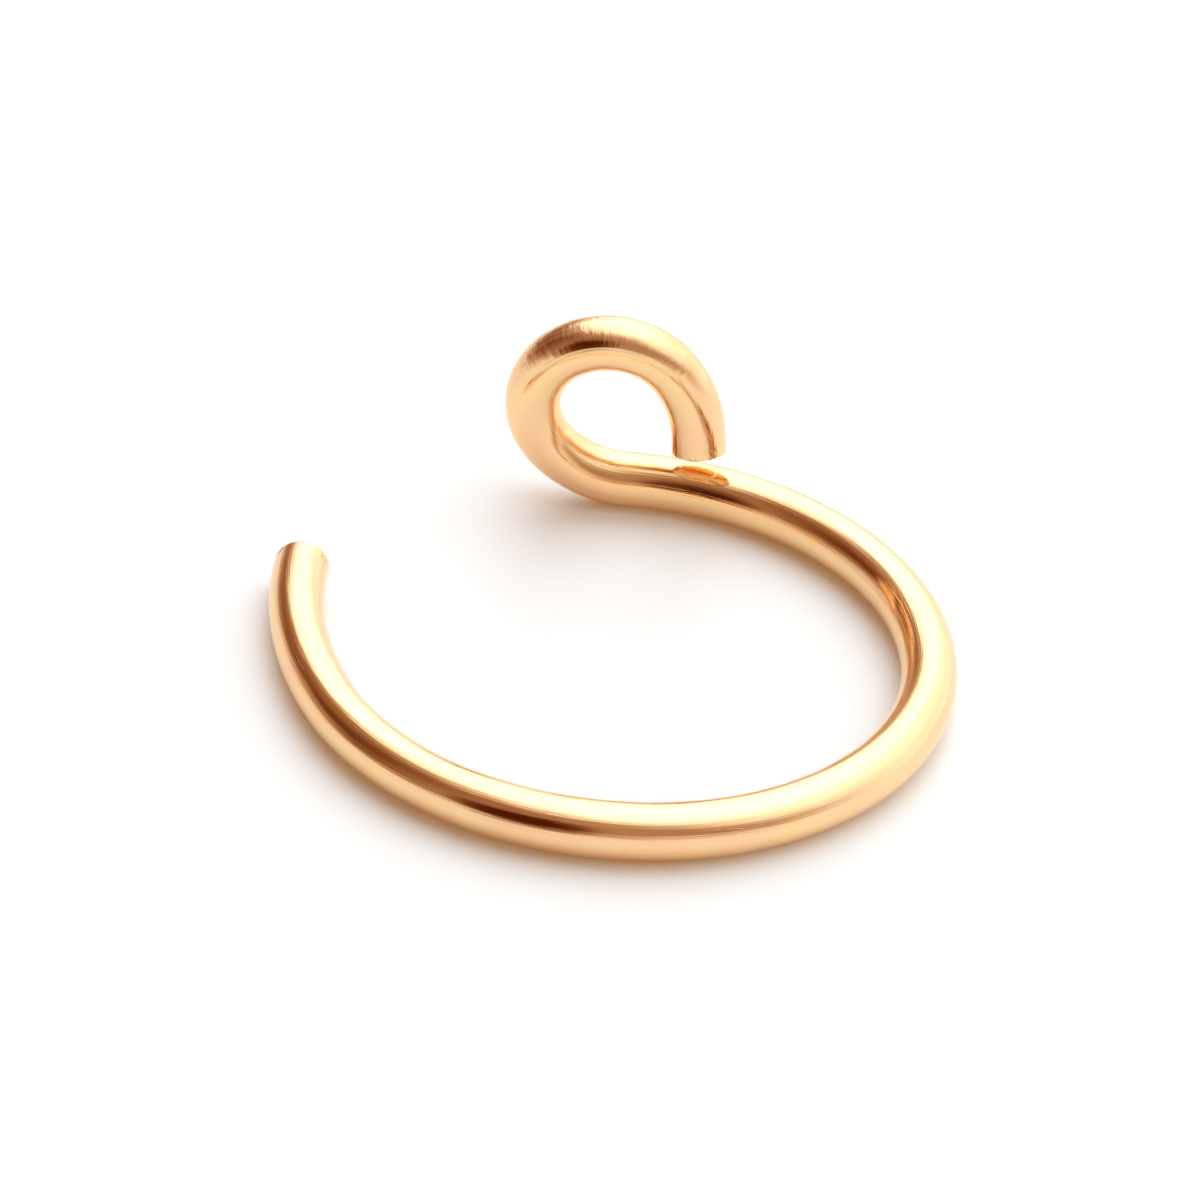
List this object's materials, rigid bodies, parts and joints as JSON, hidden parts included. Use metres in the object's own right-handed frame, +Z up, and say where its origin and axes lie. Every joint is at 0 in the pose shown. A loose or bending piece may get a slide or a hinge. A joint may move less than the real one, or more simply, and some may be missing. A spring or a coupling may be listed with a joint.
{
  "type": "open hoop nose ring",
  "caption": "Open hoop nose ring bent from one round polished gold-coloured wire, with a blunt cut end and a small upright curl at the other end, lying flat.",
  "frame": {"origin": "on the surface that the hoop lies on, under the middle of the ring's bounding box", "axes": "+Z up out of the surface, the curl standing on the +Y side, the blunt end on the -X side and the open mouth between them"},
  "size_m": [0.01, 0.0096, 0.0033],
  "materials": {
    "polished_gold": "polished, with faint drawing lines along the wire and light tool marks on the curl"
  },
  "bodies": {
    "root": {"ring_wire": "polished_gold"}
  },
  "joints": []
}
